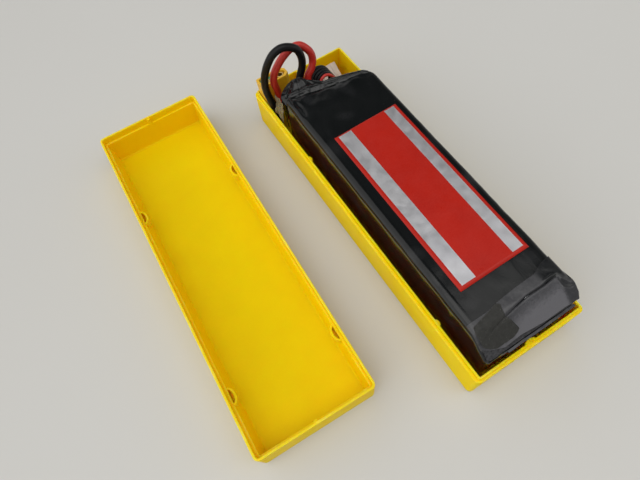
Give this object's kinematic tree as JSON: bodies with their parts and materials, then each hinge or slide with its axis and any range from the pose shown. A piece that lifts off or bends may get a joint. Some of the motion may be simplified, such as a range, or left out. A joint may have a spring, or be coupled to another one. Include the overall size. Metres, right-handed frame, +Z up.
{
  "type": "battery storage case",
  "caption": "Two-part snap case for a battery pack: a base tray holding the pack, and a matching cover tray lying open side up beside it.",
  "frame": {"origin": "centre of the underside of the base tray, on the table", "axes": "+X across the case from the cover's side towards the base's free side, +Y along the case towards the end where the leads are, +Z up"},
  "size_m": [0.1554, 0.2221, 0.065],
  "materials": {
    "case_yellow": "satin moulded",
    "sleeve_black": "heat-shrunk film",
    "label_red": "printed, laminated",
    "tape_black": "matt cloth tape",
    "boot_black": "soft moulded",
    "cell_foil": "laminated foil",
    "foam_grey": "foam",
    "board_green": "solder resist",
    "silicone_black": "soft silicone",
    "silicone_red": "soft silicone",
    "connector_amber": "moulded",
    "insert_green": "moulded",
    "contact_gold": "plated",
    "plug_white": "moulded"
  },
  "bodies": {
    "base": {"base_tray": "case_yellow"},
    "cover": {"cover_tray": "case_yellow"},
    "battery_pack": {"pack_sleeve": "sleeve_black", "end_pad": "foam_grey", "end_board": "board_green", "label_panel": "label_red", "end_tape": "tape_black", "lead_boot": "boot_black", "main_lead_black": "silicone_black", "main_lead_red": "silicone_red", "connector_body": "connector_amber", "connector_insert": "insert_green", "contact_left": "contact_gold", "contact_right": "contact_gold", "balance_plug": "plug_white", "pouch_cell_1": "cell_foil", "pouch_cell_2": "cell_foil", "pouch_cell_3": "cell_foil", "pouch_cell_4": "cell_foil", "balance_wire_1": "silicone_black", "balance_wire_2": "silicone_black", "balance_wire_3": "silicone_black", "balance_wire_4": "silicone_black", "balance_wire_5": "silicone_red"}
  },
  "joints": [
    {"name": "cover_lift", "type": "slide", "parent": "base", "child": "cover", "axis": [0, 0, 1], "range_m": [0, 0.08]},
    {"name": "pack_lift", "type": "slide", "parent": "base", "child": "battery_pack", "axis": [0, 0, 1], "range_m": [0, 0.05]}
  ]
}
